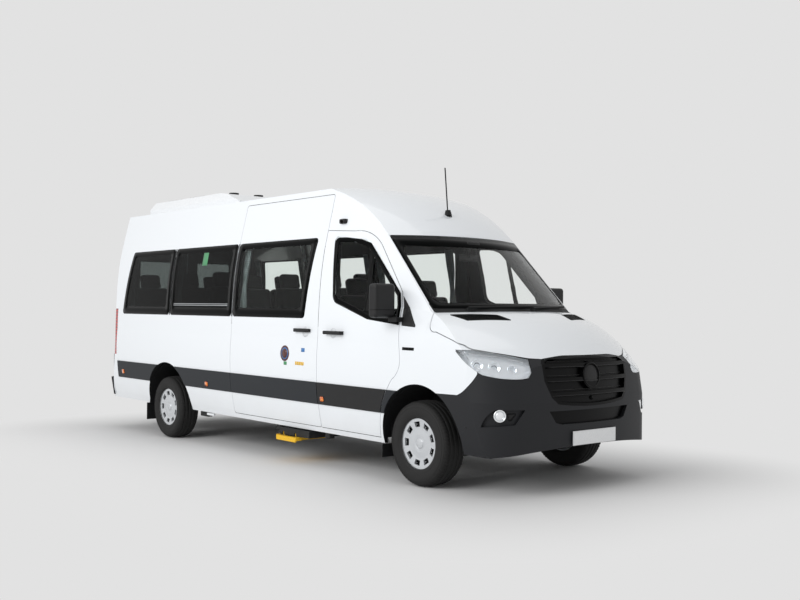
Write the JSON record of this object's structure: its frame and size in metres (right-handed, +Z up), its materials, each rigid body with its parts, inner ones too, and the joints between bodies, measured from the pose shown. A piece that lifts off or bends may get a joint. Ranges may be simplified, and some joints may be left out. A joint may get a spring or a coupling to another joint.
{
  "type": "minibus",
  "caption": "Long high-roof battery minibus with hinged front doors, hood and rear doors, a side sliding door, sliding entry step, steered front wheels and roof cooling unit.",
  "frame": {"origin": "on the ground, at the middle of the vehicle's length and width", "axes": "+X forward, +Y to the vehicle's left, +Z up"},
  "size_m": [6.9717, 2.345, 2.8396],
  "materials": {
    "anthracite_plastic": "grained",
    "black_plastic": "matt",
    "clear_glass": "polished",
    "dark_fabric": "woven",
    "dark_steel": "satin",
    "lamp_chrome": "polished",
    "plate_white": "satin",
    "red_lamp": "gloss",
    "silver_cover": "satin",
    "tinted_glass": "polished",
    "tyre": "matt",
    "white_paint": "gloss",
    "white_plastic": "satin",
    "yellow_edge": "matt"
  },
  "bodies": {
    "body": {"side_frame_right": "white_paint", "side_frame_left": "white_paint", "roof_panel": "white_paint", "fenders": "white_paint", "sliding_door": "white_paint", "windscreen": "clear_glass", "side_windows": "tinted_glass", "cowl_panel": "black_plastic", "front_bumper": "anthracite_plastic", "front_plate": "plate_white", "grille": "black_plastic", "headlamp_lenses": "clear_glass", "headlamp_bowls": "lamp_chrome", "tail_lamps": "red_lamp", "rear_bumper": "anthracite_plastic", "side_mouldings": "anthracite_plastic", "wheel_liners": "black_plastic", "floor_pan": "dark_steel", "chassis_rails": "dark_steel", "drive_units": "dark_steel", "roof_aircon": "white_plastic", "roof_fittings": "black_plastic", "step_housing": "dark_steel", "dashboard": "black_plastic", "front_seats": "dark_fabric", "passenger_seats": "dark_fabric", "curtains": "dark_fabric", "wipers": "black_plastic", "axles": "dark_steel"},
    "hood": {"hood": "white_paint"},
    "door_right": {"door_right": "white_paint", "door_glass_right": "clear_glass", "door_trim_right": "black_plastic"},
    "door_left": {"door_left": "white_paint", "door_glass_left": "clear_glass", "door_trim_left": "black_plastic"},
    "rear_door_right": {"rear_door_right": "white_paint", "rear_glass_right": "tinted_glass"},
    "rear_door_left": {"rear_door_left": "white_paint", "rear_glass_left": "tinted_glass"},
    "step": {"step_tread": "yellow_edge"},
    "steering": {"steering_wheel": "black_plastic"},
    "knuckle_right": {"knuckle_right": "dark_steel"},
    "knuckle_left": {"knuckle_left": "dark_steel"},
    "wheel_front_left": {"tyre_front_left": "tyre", "rim_front_left": "silver_cover"},
    "wheel_front_right": {"tyre_front_right": "tyre", "rim_front_right": "silver_cover"},
    "wheel_rear_left": {"tyre_rear_left": "tyre", "rim_rear_left": "silver_cover"},
    "wheel_rear_right": {"tyre_rear_right": "tyre", "rim_rear_right": "silver_cover"}
  },
  "joints": [
    {"name": "hood_hinge", "type": "hinge", "parent": "body", "child": "hood", "pos_m": [2.52399, 0, 1.43132], "axis": [0, -1, 0], "range_deg": [0, 50]},
    {"name": "door_right_hinge", "type": "hinge", "parent": "body", "child": "door_right", "pos_m": [2.26463, -1.012, 1.00281], "axis": [0.0136, 0, 0.9999], "range_deg": [0, 70]},
    {"name": "door_left_hinge", "type": "hinge", "parent": "body", "child": "door_left", "pos_m": [2.26463, 1.012, 1.00281], "axis": [-0.0136, 0, -0.9999], "range_deg": [0, 70]},
    {"name": "rear_door_right_hinge", "type": "hinge", "parent": "body", "child": "rear_door_right", "pos_m": [-3.34255, -0.812, 1.47919], "axis": [0.0729, 0, 0.9973], "range_deg": [0, 180]},
    {"name": "rear_door_left_hinge", "type": "hinge", "parent": "body", "child": "rear_door_left", "pos_m": [-3.34255, 0.812, 1.47919], "axis": [-0.0729, 0, -0.9973], "range_deg": [0, 180]},
    {"name": "step_slide", "type": "slide", "parent": "body", "child": "step", "axis": [0, -1, 0], "range_m": [0, 0.2]},
    {"name": "steer_right", "type": "hinge", "parent": "body", "child": "knuckle_right", "pos_m": [2.4645, -0.8, 0.348], "axis": [0, 0, 1], "range_deg": [-35, 35]},
    {"name": "steer_left", "type": "hinge", "parent": "body", "child": "knuckle_left", "pos_m": [2.4645, 0.8, 0.348], "axis": [0, 0, 1], "range_deg": [-35, 35]},
    {"name": "steering_wheel_turn", "type": "hinge", "parent": "body", "child": "steering", "pos_m": [1.79063, 0.44, 1.18928], "axis": [-0.5175, 0, 0.8557], "range_deg": [-540, 540]},
    {"name": "wheel_front_left_roll", "type": "hinge", "parent": "knuckle_left", "child": "wheel_front_left", "pos_m": [2.4645, 0.866, 0.348], "axis": [0, 1, 0], "continuous": true},
    {"name": "wheel_front_right_roll", "type": "hinge", "parent": "knuckle_right", "child": "wheel_front_right", "pos_m": [2.4645, -0.866, 0.348], "axis": [0, 1, 0], "continuous": true},
    {"name": "wheel_rear_left_roll", "type": "hinge", "parent": "body", "child": "wheel_rear_left", "pos_m": [-1.8605, 0.868, 0.348], "axis": [0, 1, 0], "continuous": true},
    {"name": "wheel_rear_right_roll", "type": "hinge", "parent": "body", "child": "wheel_rear_right", "pos_m": [-1.8605, -0.868, 0.348], "axis": [0, 1, 0], "continuous": true}
  ],
  "couplings": [
    {"joint": "steer_left", "follows": "steer_right", "ratio": 1},
    {"joint": "steering_wheel_turn", "follows": "steer_right", "ratio": 15}
  ]
}
